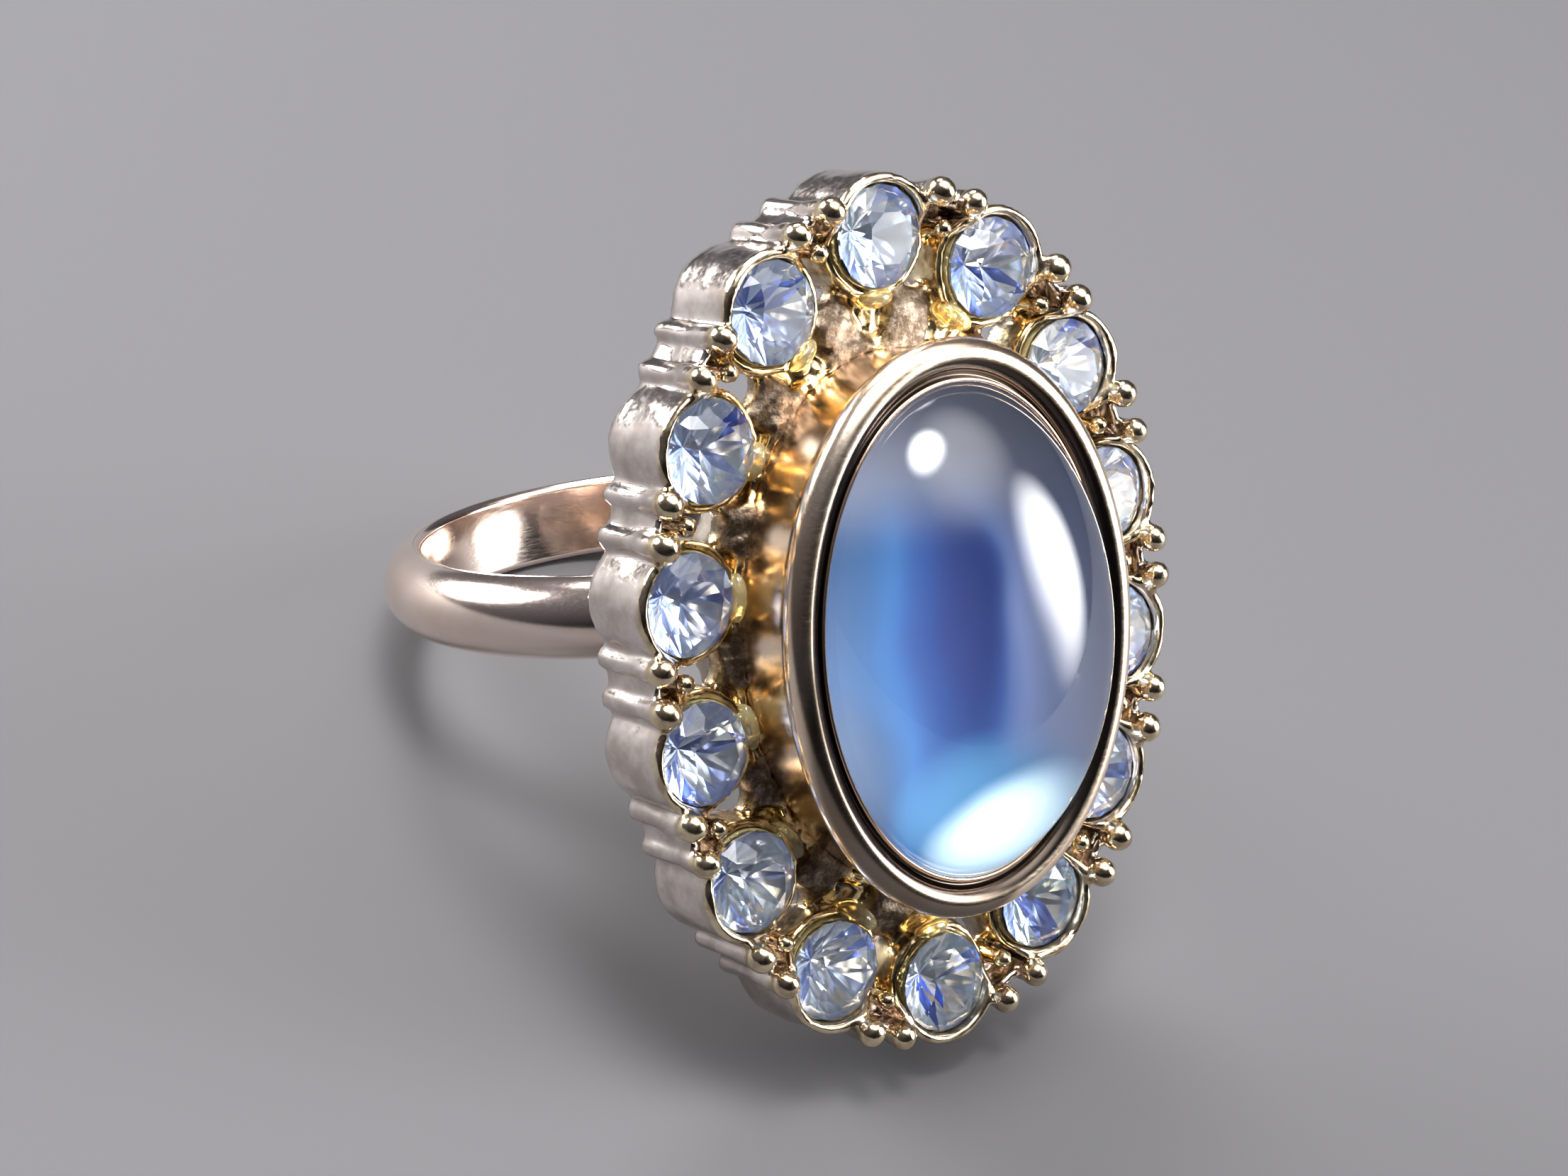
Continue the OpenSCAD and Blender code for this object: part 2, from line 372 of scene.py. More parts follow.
def ripple(x, y, z, wavelength, draw, waves=14):
    """Smooth seeded noise of about unit height."""
    total = 0.0
    for _ in range(waves):
        aim = draw.normal(size=3)
        aim *= 2 * np.pi / wavelength / np.linalg.norm(aim) * draw.uniform(0.7, 1.4)
        phase = draw.uniform(0, 2 * np.pi)
        total = total + np.sin(aim[0] * x + aim[1] * y + aim[2] * z + phase)
    return (total / math.sqrt(waves / 2)).astype(np.float32)


# ------------------------------------------------------------------------ mesh helpers


def build(name, points, faces, smooth=True):
    """A mesh object from head millimetres, riding on the ring."""
    mesh = bpy.data.meshes.new(name)
    placed = np.asarray(points, float) @ HEAD_ROWS.T * MM
    mesh.from_pydata(placed.tolist(), [], [tuple(int(i) for i in f) for f in faces])
    mesh.validate()
    form = bmesh.new()
    form.from_mesh(mesh)
    bmesh.ops.recalc_face_normals(form, faces=form.faces)
    form.to_mesh(mesh)
    form.free()
    mesh.polygons.foreach_set("use_smooth", [smooth] * len(mesh.polygons))
    mesh.update()
    piece = bpy.data.objects.new(name, mesh)
    bpy.context.scene.collection.objects.link(piece)
    return piece


def stand_for(piece, node, slot, *materials):
    """Gives a piece its materials and puts it in the place of a CAD node."""
    for material in materials:
        piece.data.materials.append(material)
    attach(piece, "root")
    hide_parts(node)


def paint(piece, name, values):
    """Stores one number per vertex for a material to read."""
    layer = piece.data.attributes.new(name, "FLOAT", "POINT")
    layer.data.foreach_set("value", np.asarray(values, np.float32))


def oval_ring(a, b, out, z, sides):
    """Points a distance out from an oval, at one height."""
    t = 2 * np.pi * np.arange(sides) / sides
    normal = np.stack([-np.sin(t) / a, np.cos(t) / b], 1)
    normal /= np.linalg.norm(normal, axis=1)[:, None]
    flat = np.stack([-a * np.sin(t), b * np.cos(t)], 1) + out * normal
    return np.column_stack([flat, np.full(sides, z)])


def closed_loft(rings, low_point, high_point):
    """Points and faces through rings of equal length, closed at each end by a fan."""
    sides = len(rings[0])
    points = np.vstack(rings + [[low_point], [high_point]])
    low, high = len(points) - 2, len(points) - 1
    last = (len(rings) - 1) * sides
    faces = []
    for j in range(len(rings) - 1):
        for i in range(sides):
            a, b = j * sides + i, j * sides + (i + 1) % sides
            faces.append((a, b, b + sides, a + sides))
    for i in range(sides):
        faces.append((low, (i + 1) % sides, i))
        faces.append((high, last + i, last + (i + 1) % sides))
    return points, faces


# --------------------------------------------------------------------------- materials


class Nodes:
    """A short way to write a node material."""

    def __init__(self, name):
        self.material = bpy.data.materials.new(name)
        self.material.use_nodes = True
        self.tree = self.material.node_tree
        self.shader = self.tree.nodes["Principled BSDF"]

    def set(self, **values):
        for socket, value in values.items():
            self.shader.inputs[socket.replace("_", " ")].default_value = value
        return self

    def node(self, kind, settings=None, **inputs):
        node = self.tree.nodes.new("ShaderNode" + kind)
        for key, value in (settings or {}).items():
            setattr(node, key, value)
        for socket, value in inputs.items():
            numbered = socket[0] == "i" and socket[1:].isdigit()
            target = node.inputs[int(socket[1:]) if numbered else socket]
            if isinstance(value, bpy.types.NodeSocket):
                self.tree.links.new(value, target)
            else:
                target.default_value = value
        return node

    def place(self):
        """The point in object space, in millimetres."""
        spot = self.node("TexCoord").outputs["Object"]
        return self.node("VectorMath", {"operation": "SCALE"}, i0=spot, i3=1 / MM).outputs[0]

    def along(self, direction, reach):
        """How far the point lies along a direction, as a share of a reach in millimetres."""
        aim = tuple(Vector(direction) / reach)
        dot = self.node("VectorMath", {"operation": "DOT_PRODUCT"}, i0=self.place(), i1=aim)
        return dot.outputs["Value"]

    def spot(self, x, y, centre, half):
        """Fades from 1 at the centre of an oval spot to 0 at its edge."""
        away = [
            self.math("DIVIDE", self.math("SUBTRACT", value, at), size)
            for value, at, size in zip((x, y), centre, half)
        ]
        square = self.math("ADD", *(self.math("MULTIPLY", side, side) for side in away))
        return self.span(square, 1.0, 0.0)

    def noise(self, scale, detail=3.0, roughness=0.55, vector=None):
        return self.node(
            "TexNoise", Vector=vector or self.place(), Scale=scale, Detail=detail,
            Roughness=roughness,
        ).outputs["Fac"]

    def paint(self, name):
        """A number that paint() stored on the mesh."""
        return self.node("Attribute", {"attribute_name": name}).outputs["Fac"]

    def math(self, operation, a, b):
        return self.node("Math", {"operation": operation}, i0=a, i1=b).outputs[0]

    def span(self, value, low, high, to_low=0.0, to_high=1.0):
        """Maps low..high smoothly to to_low..to_high."""
        return self.node(
            "MapRange", {"interpolation_type": "SMOOTHSTEP"}, i0=value, i1=low, i2=high,
            i3=to_low, i4=to_high,
        ).outputs[0]

    def blend(self, share, a, b):
        """A colour that is a where the share is 0 and b where it is 1."""
        mix = self.node("Mix", {"data_type": "RGBA"})
        for socket, value in zip((mix.inputs[0], mix.inputs[6], mix.inputs[7]), (share, a, b)):
            if isinstance(value, bpy.types.NodeSocket):
                self.tree.links.new(value, socket)
            else:
                socket.default_value = (*value, 1) if isinstance(value, tuple) else value
        return mix.outputs[2]

    def ramp(self, value, stops):
        """A colour from (place, colour) stops."""
        node = self.node("ValToRGB", i0=value)
        ramp_stops = node.color_ramp.elements
        while len(ramp_stops) < len(stops):
            ramp_stops.new(0.5)
        for stop, (place, colour) in zip(ramp_stops, stops):
            stop.position = place
            stop.color = (*colour, 1)
        return node.outputs[0]

    def bump(self, height, distance, strength=1.0):
        """Bump whose height of 1 stands for a distance in millimetres."""
        bumped = self.node("Bump", Height=height, Distance=distance * MM, Strength=strength)
        self.tree.links.new(bumped.outputs[0], self.shader.inputs["Normal"])
        return self

    def link(self, value, socket):
        self.tree.links.new(value, self.shader.inputs[socket])
        return self


def polished_metal(name, colour, shade, rough, tarnish):
    """Plated metal with faint wear, tiny scratches and darker specks, near black with painted
    shade and painted dark reflection where that mask is stored, and coppery where "copper" is."""
    n = Nodes(name).set(Metallic=1.0)
    cloud = n.noise(0.35, 4)
    speck = n.span(n.noise(3.2, 5, 0.7), 0.66, 0.80)
    tone = n.blend(n.span(cloud, 0.35, 0.7), colour, shade)
    tone = n.blend(n.math("MULTIPLY", speck, tarnish), tone, (0.12, 0.08, 0.06))
    tone = n.blend(n.math("MULTIPLY", n.paint("copper"), 0.5), tone, (0.80, 0.42, 0.25))
    # Painted shade and painted dark reflection: near black where the bezel stores that mask
    dark = n.math("MULTIPLY", n.paint("shade_and_dark_reflection"), 0.93)
    n.link(n.blend(dark, tone, (0.03, 0.022, 0.02)), "Base Color")
    stretched = n.node("Mapping", Vector=n.place(), Scale=(0.6, 4.0, 9.0)).outputs[0]
    scratch = n.noise(2.6, 4, 0.65, stretched)
    wear = n.math("MULTIPLY", n.span(scratch, 0.35, 0.75), 0.08)
    dull = n.math("ADD", n.math("MULTIPLY", speck, 0.15), rough)
    n.link(n.math("ADD", wear, dull), "Roughness")
    fine = n.math("ADD", n.math("MULTIPLY", scratch, 0.3), n.noise(1.1, 2))
    return n.bump(fine, 0.008, 0.5).material


def cast_metal():
    """The halo's skin: champagne outside, yellow gold inside, dark bronze on the webs, and
    darker deep in corners.
    """
    n = Nodes("cast_skin").set(Metallic=1.0)
    patch = n.noise(0.9, 5, 0.6)
    outside = n.blend(n.span(patch, 0.35, 0.65), (0.82, 0.74, 0.69), (0.58, 0.50, 0.45))
    inside = n.blend(n.span(n.noise(1.4, 3), 0.4, 0.65), (0.84, 0.68, 0.39), (0.38, 0.26, 0.12))
    glint = n.span(n.noise(2.2, 4, 0.7), 0.42, 0.68)
    bronze = n.blend(glint, (0.09, 0.065, 0.045), (0.30, 0.235, 0.18))
    tone = n.blend(n.paint("gild"), outside, inside)
    tone = n.blend(n.paint("web"), tone, bronze)
    # Darker deep in corners, by how crowded their surroundings are, with some noise
    crevice = n.math("ADD", n.paint("crevice"), n.math("MULTIPLY", patch, 0.35))
    corner_dark = n.span(crevice, 0.66, 0.95)
    n.link(n.blend(corner_dark, tone, (0.06, 0.035, 0.022)), "Base Color")
    grain = n.noise(5.5, 5, 0.65)
    grained = n.span(grain, 0.3, 0.75, 0.10, 0.24)
    rough = n.math("ADD", n.math("MULTIPLY", n.paint("web"), 0.2), grained)
    n.link(n.math("ADD", rough, n.math("MULTIPLY", corner_dark, 0.25)), "Roughness")
    pitted = n.math("MULTIPLY", grain, n.span(n.paint("web"), 0, 1, 0.03, 1.3))
    waves = n.math("MULTIPLY", n.noise(0.8, 1), 0.7)
    return n.bump(n.math("ADD", pitted, waves), 0.04, 0.8).material


def foil_metal():
    """Lacquered foil under the cabochon, on x across and y along as shares of its half
    widths: azure with a navy and violet middle and darker towards the -x, -y corner, the azure
    brightest left of the middle as partly painted light refracted into the dome; paler towards
    +x and lilac at the +y end as painted reflections of a grey room; and a painted glow of
    focused light near the -y end, ringed with painted cyan light, that also emits light."""
    n = Nodes("blue_foil").set(Metallic=0.15, Roughness=0.5)
    cloud = n.math("MULTIPLY", n.math("SUBTRACT", n.noise(0.22, 1), 0.5), 0.22)
    x = n.math("ADD", n.along(ACROSS, CAB_A), cloud)
    y = n.math("ADD", n.along(ALONG, CAB_B), cloud)
    # Paler towards +x: painted reflection; azure left of middle: partly painted refracted light
    tone = n.ramp(n.span(x, -0.5, 0.9), [
        (0.0, (0.010, 0.06, 0.16)),
        (0.12, (0.012, 0.085, 0.23)),
        (0.22, (0.026, 0.14, 0.36)),
        (0.34, (0.022, 0.12, 0.35)),
        (0.48, (0.04, 0.09, 0.28)),
        (0.60, (0.11, 0.19, 0.46)),
        (0.72, (0.26, 0.30, 0.52)),
        (1.0, (0.34, 0.35, 0.48)),
    ])
    tone = n.blend(n.spot(x, y, (0.13, -0.05), (0.28, 0.66)), tone, (0.006, 0.040, 0.20))
    tone = n.blend(n.spot(x, y, (0.20, 0.02), (0.18, 0.42)), tone, (0.010, 0.026, 0.15))
    # Darker towards the -x, -y corner
    tone = n.blend(n.spot(x, y, (-0.40, -0.52), (0.34, 0.45)), tone, (0.006, 0.035, 0.10))
    # Lilac at the +y end: painted reflection of a grey room
    tone = n.blend(n.span(y, 0.22, 0.60), tone, (0.36, 0.35, 0.42))
    # Painted cyan light around the glow
    tone = n.blend(n.spot(x, y, (0.27, -0.60), (0.46, 0.28)), tone, (0.11, 0.34, 0.60))
    # Painted glow of light focused by the dome near the -y end, which also emits light
    slanted = n.math("SUBTRACT", y, n.math("MULTIPLY", x, 0.3))
    painted_glow = n.spot(x, slanted, (0.29, -0.715), (0.35, 0.16))
    tone = n.blend(painted_glow, tone, (0.85, 1.00, 1.00))
    n.link(tone, "Base Color").link(tone, "Emission Color")
    n.link(n.math("MULTIPLY", painted_glow, 0.8), "Emission Strength")
    return n.material


def dome_glass():
    """Clear glass of the cabochon."""
    n = Nodes("sapphire_glass")
    n.set(Base_Color=(0.80, 0.90, 1.0, 1), Transmission_Weight=1.0, Roughness=0.0, IOR=1.52)
    return n.material


def stone_glass():
    """Clear glass of the round stones."""
    n = Nodes("stone_glass")
    n.set(Base_Color=(0.90, 0.95, 1.0, 1), Transmission_Weight=1.0, Roughness=0.01, IOR=1.54)
    return n.material


def stone_foil():
    """Foiled backs of the round stones, each facet with its own icy tint."""
    n = Nodes("stone_foil").set(Metallic=0.85, Roughness=0.14)
    n.link(n.ramp(n.paint("shade"), [
        (0.0, (0.05, 0.10, 0.50)),
        (0.10, (0.40, 0.50, 0.92)),
        (0.22, (0.74, 0.79, 0.98)),
        (0.65, (0.82, 0.92, 0.98)),
        (1.0, (0.97, 0.98, 1.00)),
    ]), "Base Color")
    return n.material


def clear_glue():
    """Yellowed clear cement under the round stones."""
    n = Nodes("yellow_glue")
    n.set(Base_Color=(1.0, 0.86, 0.45, 1), Transmission_Weight=0.82, Roughness=0.05, IOR=1.5)
    return n.bump(n.noise(1.6, 2), 0.05, 0.6).material


def white_cement():
    """Chalky filler in the centre cup."""
    n = Nodes("cement").set(Roughness=0.7)
    stops = [(0.3, (0.55, 0.48, 0.3)), (0.7, (0.75, 0.68, 0.5))]
    n.link(n.ramp(n.noise(1.2, 4), stops), "Base Color")
    return n.bump(n.noise(4, 4), 0.05, 0.6).material


CAST = cast_metal()
SHANK_METAL = polished_metal("shank_plate", (0.90, 0.76, 0.68), (0.82, 0.65, 0.55), 0.12, 0.35)
BEZEL_METAL = polished_metal("bezel_plate", (0.96, 0.80, 0.64), (0.88, 0.66, 0.47), 0.17, 0.5)
FOIL = foil_metal()
DOME = dome_glass()
STONE = stone_glass()
STONE_BACK = stone_foil()
GLUE = clear_glue()
CEMENT = white_cement()

# ------------------------------------------------------------------------------ pieces


def halo_edge(x, y):
    """Distance out from the halo's scalloped outline."""
    lobes = oval_distance(x, y, HALO_A, HALO_B) - RAIL_OUT
    for (cx, cy), _ in STONE_SPOTS:
        lobes = smooth_min(lobes, np.hypot(x - cx, y - cy) - CUP_OUT_R, 0.15)
    return lobes


def halo_body(solid):
    """Thin plate, side wall, and the ring at the bezel."""
    _, x, y, z = solid.everywhere()
    edge = halo_edge(x, y)
    run = oval_distance(x, y, HALO_A, HALO_B)

    # Thin plate across the halo's whole width
    slab = np.abs(z - (PLATE_Z + PLATE_TOP_Z) / 2) - (PLATE_TOP_Z - PLATE_Z) / 2
    solid.field = smooth_max(edge, slab, 0.15).astype(np.float32)

    # Side wall, drawn in towards its foot, with a foot band
    shaping = 0.10 * ramp(z, GIRDLE_Z - 2.5, WALL_Z) - 0.07 * bump(z, WALL_Z + 0.15, 0.3)
    wall = smooth_max(edge + shaping, SKIRT_OUT - run, 0.1)
    height = np.abs(z - (WALL_Z + GIRDLE_Z) / 2) - (GIRDLE_Z - WALL_Z) / 2
    wall = smooth_max(wall, height, 0.12)
    solid.field = smooth_min(solid.field, wall, 0.12).astype(np.float32)

    # A ring that carries the webs along the bezel's wall
    seat = oval_distance(x, y, CAB_A + WALL_OUT + 0.17, CAB_B + WALL_OUT + 0.17)
    ring = np.maximum(np.abs(seat) - 0.22, np.abs(z - PLATE_Z - 0.45) - 0.5)
    solid.field = smooth_min(solid.field, ring, 0.25).astype(np.float32)


def halo_webs(solid, draw):
    """Spokes behind the stones, and sloping webs behind the gaps between them."""

    def spoke(u, v, z):
        inner, outer = -CUP_R - 3.2, -CUP_R + 0.3
        return block(u, v, z, SPOKE_HALF, inner, outer, PLATE_Z, GIRDLE_Z - 0.95)

    for spot in STONE_SPOTS:
        solid.join_at(spot, 5.2, spoke, 0.35)

    for spot in GAP_SPOTS:
        lift = draw.uniform(-0.10, 0.10)
        lean_u = draw.uniform(-0.08, 0.08)

        def web(u, v, z, lift=lift, lean_u=lean_u):
            top = GIRDLE_Z - 1.0 + lift + lean_u * u + 0.42 * ramp(-v, 1.3, 2.7)
            sheet = block(u, v, z, WEB_HALF, -5.4, -0.7, PLATE_Z, GIRDLE_Z + 2)
            return smooth_max(sheet, z - top, 0.3)

        solid.join_at(spot, 5.4, web, 0.3)


def halo_holes(solid, draw):
    """Open holes between the stones, inward of the beads."""
    for spot in GAP_SPOTS:
        long_v = HOLE_LONG * draw.uniform(0.92, 1.06)
        wide_u = HOLE_WIDE * draw.uniform(0.92, 1.08)

        def hole(u, v, z, long_v=long_v, wide_u=wide_u):
            return (np.hypot(u / wide_u, (v - HOLE_OUT) / long_v) - 1) * 0.75

        solid.carve_at(spot, 2.6, hole, 0.16)


def halo_cups(solid):
    """Cups, deeper than the plate, with a raised lip on their outer half."""

    def cup(u, v, z):
        top = CUP_INNER_Z + (CUP_RIM_Z - CUP_INNER_Z) * ramp(v, -0.2, 0.9)
        body = smooth_max(np.hypot(u, v) - CUP_OUT_R, z - top, 0.12)
        return smooth_max(body, CUP_FOOT_Z - z, 0.1)

    def lip(u, v, z):
        around = np.hypot(u, v) - CUP_OUT_R + 0.14
        level = z - CUP_RIM_Z + 0.12 + 0.5 * ramp(-v, -0.9, 0.2)
        return np.hypot(around, level) - 0.19 + 0.3 * ramp(-v, -0.7, 0.1)

    for spot in STONE_SPOTS:
        solid.join_at(spot, 2.8, cup, 0.12)
        solid.join_at(spot, 2.8, lip, 0.08)


def halo_beads(solid, draw):
    """Ribs, paired beads, and a small bead by each hole."""
    for spot in GAP_SPOTS:
        for side in (-1, 1):
            size = draw.uniform(0.93, 1.05)
            sway = draw.uniform(-0.05, 0.05)
            rise = draw.uniform(-0.06, 0.05)

            def rib(u, v, z, side=side, size=size, sway=sway):
                centre = side * (BEAD_HALF_GAP + sway)
                thick = RIB_R * size - 0.06 * bump(z, GIRDLE_Z - 1.0, 0.6)
                out = BEAD_OUT + 0.10 * ramp(z, WALL_Z + 1.2, GIRDLE_Z)
                body = np.hypot(u - centre, v - out) - thick
                middle, half = (WALL_Z + RIB_TOP_Z) / 2, (RIB_TOP_Z - WALL_Z) / 2
                return smooth_max(body, np.abs(z - middle) - half, 0.1)

            def bead(u, v, z, side=side, size=size, sway=sway, rise=rise):
                centre = side * (BEAD_HALF_GAP + 0.02 + sway)
                return ball(u, v, z, centre, BEAD_OUT + 0.06, BEAD_Z + rise, BEAD_R * size)

            solid.join_at(spot, 3.2, rib, 0.10)
            solid.join_at(spot, 3.2, bead, 0.03)

        def inner_bead(u, v, z):
            stem = post(u, v, z, 0, 0.42, 0.3, PLATE_Z, GIRDLE_Z + 0.02)
            head = ball(u, v, z, 0, 0.4, GIRDLE_Z + 0.04, INNER_BEAD_R)
            return smooth_min(stem, head, 0.05)

        solid.join_at(spot, 2.0, inner_bead, 0.1)


def halo_openings(solid):
    """Room for the stones, vents under them, and the opening for the centre cup."""

    def bore(u, v, z):
        return post(u, v, z, 0, 0, CUP_R, CUP_FLOOR_Z, GIRDLE_Z + 3)

    def vent(u, v, z):
        return np.hypot(u, v) - VENT_R

    def cavity(x, y, z):
        return oval_distance(x, y, CAB_A + WALL_OUT - 0.04, CAB_B + WALL_OUT - 0.04)

    for spot in STONE_SPOTS:
        solid.carve_at(spot, 2.6, bore, 0.06)
        solid.carve_at(spot, 2.6, vent, 0.08)
    solid.carve(cavity, 0.06)


def halo_skin(solid, draw):
    """Uneven cast skin, rougher towards the centre."""
    _, x, y, z = solid.everywhere()
    run = oval_distance(x, y, HALO_A, HALO_B)
    soft = ripple(x, y, z, 1.9, draw)
    rough = ripple(x, y, z, 0.55, draw, 20)
    inward = ramp(-run, 1.2, 1.8) * ramp(z, PLATE_Z, PLATE_TOP_Z)
    skin = CAST_RIPPLE * soft + WEB_RIPPLE * inward * rough
    solid.field = (solid.field + skin).astype(np.float32)


def web_share(points):
    """How far each point lies on a rough web, from 0 on the spokes and cups to 1."""
    share = np.zeros(len(points))
    for (cx, cy), (nx, ny) in GAP_SPOTS:
        u = (points[:, 0] - cx) * ny - (points[:, 1] - cy) * nx
        v = (points[:, 0] - cx) * nx + (points[:, 1] - cy) * ny
        near = ramp(-np.abs(u), -1.15, -0.75) * ramp(-v, 1.45, 1.8) * ramp(v, -4.6, -4.2)
        share = np.maximum(share, near)
    return share * ramp(points[:, 2], PLATE_Z - 0.1, PLATE_Z + 0.2)


def crevice_share(solid, points):
    """How deep in a corner each point lies, from 0 to 1."""
    return ramp(solid.sample(solid.crowding(CORNER_R), points), 0.45, 0.85)


def halo_casting():
    """The casting, painted for its gilding, its rough webs and its darker corners."""
    solid = Solid(casting_low - MARGIN, casting_high + MARGIN, STEP)
    draw = np.random.RandomState(SEED)
    halo_body(solid)
    halo_webs(solid, draw)
    halo_holes(solid, draw)
    halo_cups(solid)
    halo_beads(solid, draw)
    halo_openings(solid)
    halo_skin(solid, draw)
    points, faces = solid.surface()
    piece = build("halo_cast", points, faces)
    run = oval_distance(points[:, 0], points[:, 1], HALO_A, HALO_B)
    high = ramp(points[:, 2], CUP_FOOT_Z, PLATE_TOP_Z + 0.1)
    crowned = 0.7 * ramp(points[:, 2], GIRDLE_Z - 0.1, GIRDLE_Z + 0.25)
    paint(piece, "gild", np.maximum(ramp(-run, -1.15, -0.1) * high, crowned))
    paint(piece, "web", web_share(points))
    paint(piece, "crevice", crevice_share(solid, points))
    stand_for(piece, "halo_casting", "head_metal", CAST)


def gallery_collar():
    """Pierced oval tube with softened edges, a flange above and a saddle below."""
    solid = Solid(collar_low - COLLAR_MARGIN, collar_high + COLLAR_MARGIN, STEP)
    _, x, y, z = solid.everywhere()
    a, b = collar_high[0] - FLANGE_W, collar_high[1] - FLANGE_W
    run = oval_distance(x, y, a, b)
    low, top = collar_low[2], collar_high[2]
    tube = np.abs(run + COLLAR_WALL / 2) - COLLAR_WALL / 2
    body = smooth_max(tube, np.abs(z - (low + top) / 2) - (top - low) / 2, 0.12)
    brim = np.maximum(run - FLANGE_W, -COLLAR_WALL - run)
    brim = smooth_max(brim, np.abs(z - top + 0.25) - 0.25, 0.12)
    field = smooth_min(body, brim, 0.25)
    window_z = (top - 0.5 + BAND_R) / 2
    for i in range(WINDOW_PAIRS):
        turn = math.pi * (i + 0.5) / WINDOW_PAIRS
        across = x * math.cos(turn) + y * math.sin(turn)
        field = smooth_max(field, WINDOW_R - np.hypot(across, z - window_z), 0.2)
    field = smooth_max(field, BAND_R - 0.05 - np.hypot(x, z), 0.08)
    skin = COLLAR_RIPPLE * ripple(x, y, z, 1.0, np.random.RandomState(SEED))
    solid.field = (field + skin).astype(np.float32)
    points, faces = solid.surface()
    piece = build("collar_cast", points, faces)
    paint(piece, "gild", np.full(len(points), 0.25))
    paint(piece, "web", np.zeros(len(points)))
    paint(piece, "crevice", crevice_share(solid, points))
    stand_for(piece, "gallery_collar", "head_metal", CAST)


def shank():
    """Half-round band swept round the finger hole."""
    sides = 256
    thick = BAND_R - FINGER_R
    profile = []
    for turn in np.linspace(-90, 90, 41):
        bend = math.radians(turn)
        reach = FINGER_R + thick * math.cos(bend)
        profile.append([max(reach, FINGER_R + BAND_EDGE * 0.9), BAND_HALF * math.sin(bend)])
    for side in (1, -1):
        for turn in np.linspace(0, 90, 7)[1:] if side > 0 else np.linspace(90, 0, 7)[:-1]:
            bend = math.radians(turn)
            back = BAND_EDGE * (1 - math.sin(bend))
            inset = BAND_EDGE * (1 - math.cos(bend))
            profile.append([FINGER_R + back, side * (BAND_HALF - inset)])
    count = len(profile)
    reach, along = np.array(profile).T
    points = []
    for i in range(sides):
        turn = 2 * math.pi * i / sides
        points.append(np.column_stack([reach * math.sin(turn), along, reach * math.cos(turn)]))
    faces = []
    for i in range(sides):
        for j in range(count):
            a, b = i * count, (i + 1) % sides * count
            k = (j + 1) % count
            faces.append((a + j, a + k, b + k, b + j))
    piece = build("shank_band", np.vstack(points), faces)
    stand_for(piece, "shank", "shank_gold", SHANK_METAL)


def dome_spread(z):
    """How far the cabochon has narrowed at a height, from 1 at its edge to 0 at its top."""
    rise = np.clip((z - CAB_EDGE_Z) / (CAB_TOP_Z - CAB_EDGE_Z), 0, 1)
    sine = rise ** (DOME_POWER / 2)
    return math.sqrt(1 - sine**2) ** (2 / DOME_POWER)


def bezel_section():
    """The cup's section as (share of the oval, distance out, z), from its foot over the roll
    and down inside, and where in it the roll, the groove and the lip begin or end."""
    roll_z = CREST_Z - ROLL_R
    roll_out = RIM_OUT - ROLL_R
    neck_z = CREST_Z - 3.1 * ROLL_R
    profile = [(1, WALL_OUT - 0.12, BEZEL_FOOT_Z), (1, WALL_OUT - 0.02, BEZEL_FOOT_Z + 0.04)]
    profile += [(1, WALL_OUT, BEZEL_FOOT_Z + 0.14), (1, WALL_OUT, (BEZEL_FOOT_Z + neck_z) / 2)]
    start_out = roll_out + ROLL_R * math.cos(math.radians(ROLL_FROM))
    start_z = roll_z + ROLL_R * math.sin(math.radians(ROLL_FROM))
    for share in np.linspace(0, 1, 8)[:-1]:
        flare = WALL_OUT + (start_out - WALL_OUT) * share**2.2
        profile.append((1, flare, neck_z + (start_z - neck_z) * share))
    roll_start = len(profile)
    for turn in np.linspace(ROLL_FROM, ROLL_TO, ROLL_POINTS):
        bend = math.radians(turn)
        profile.append((1, roll_out + ROLL_R * math.cos(bend), roll_z + ROLL_R * math.sin(bend)))
    # The groove takes in the roll's last eight points, its bottom and the lip's first two
    groove_start = len(profile) - 8
    lip_z = CREST_Z - 0.25
    lip_spread = dome_spread(lip_z)
    lip_out = LIP_R + 0.02
    profile.append((lip_spread, lip_out + 0.12, lip_z - 0.22))
    groove_end = len(profile) + 2
    lip_end = len(profile) + LIP_POINTS
    for turn in np.linspace(-10, 190, LIP_POINTS):
        bend = math.radians(turn)
        out = lip_out + LIP_R * math.cos(bend)
        profile.append((lip_spread, out, lip_z + LIP_R * math.sin(bend)))
    for z in np.linspace(lip_z - 0.15, CAB_EDGE_Z, 8):
        profile.append((dome_spread(z), 0.03, z))
    profile += [(1, 0.03, CAB_BASE_Z), (1, 0.03, BEZEL_FOOT_Z + 0.65)]
    return profile, roll_start, groove_start, groove_end, lip_end


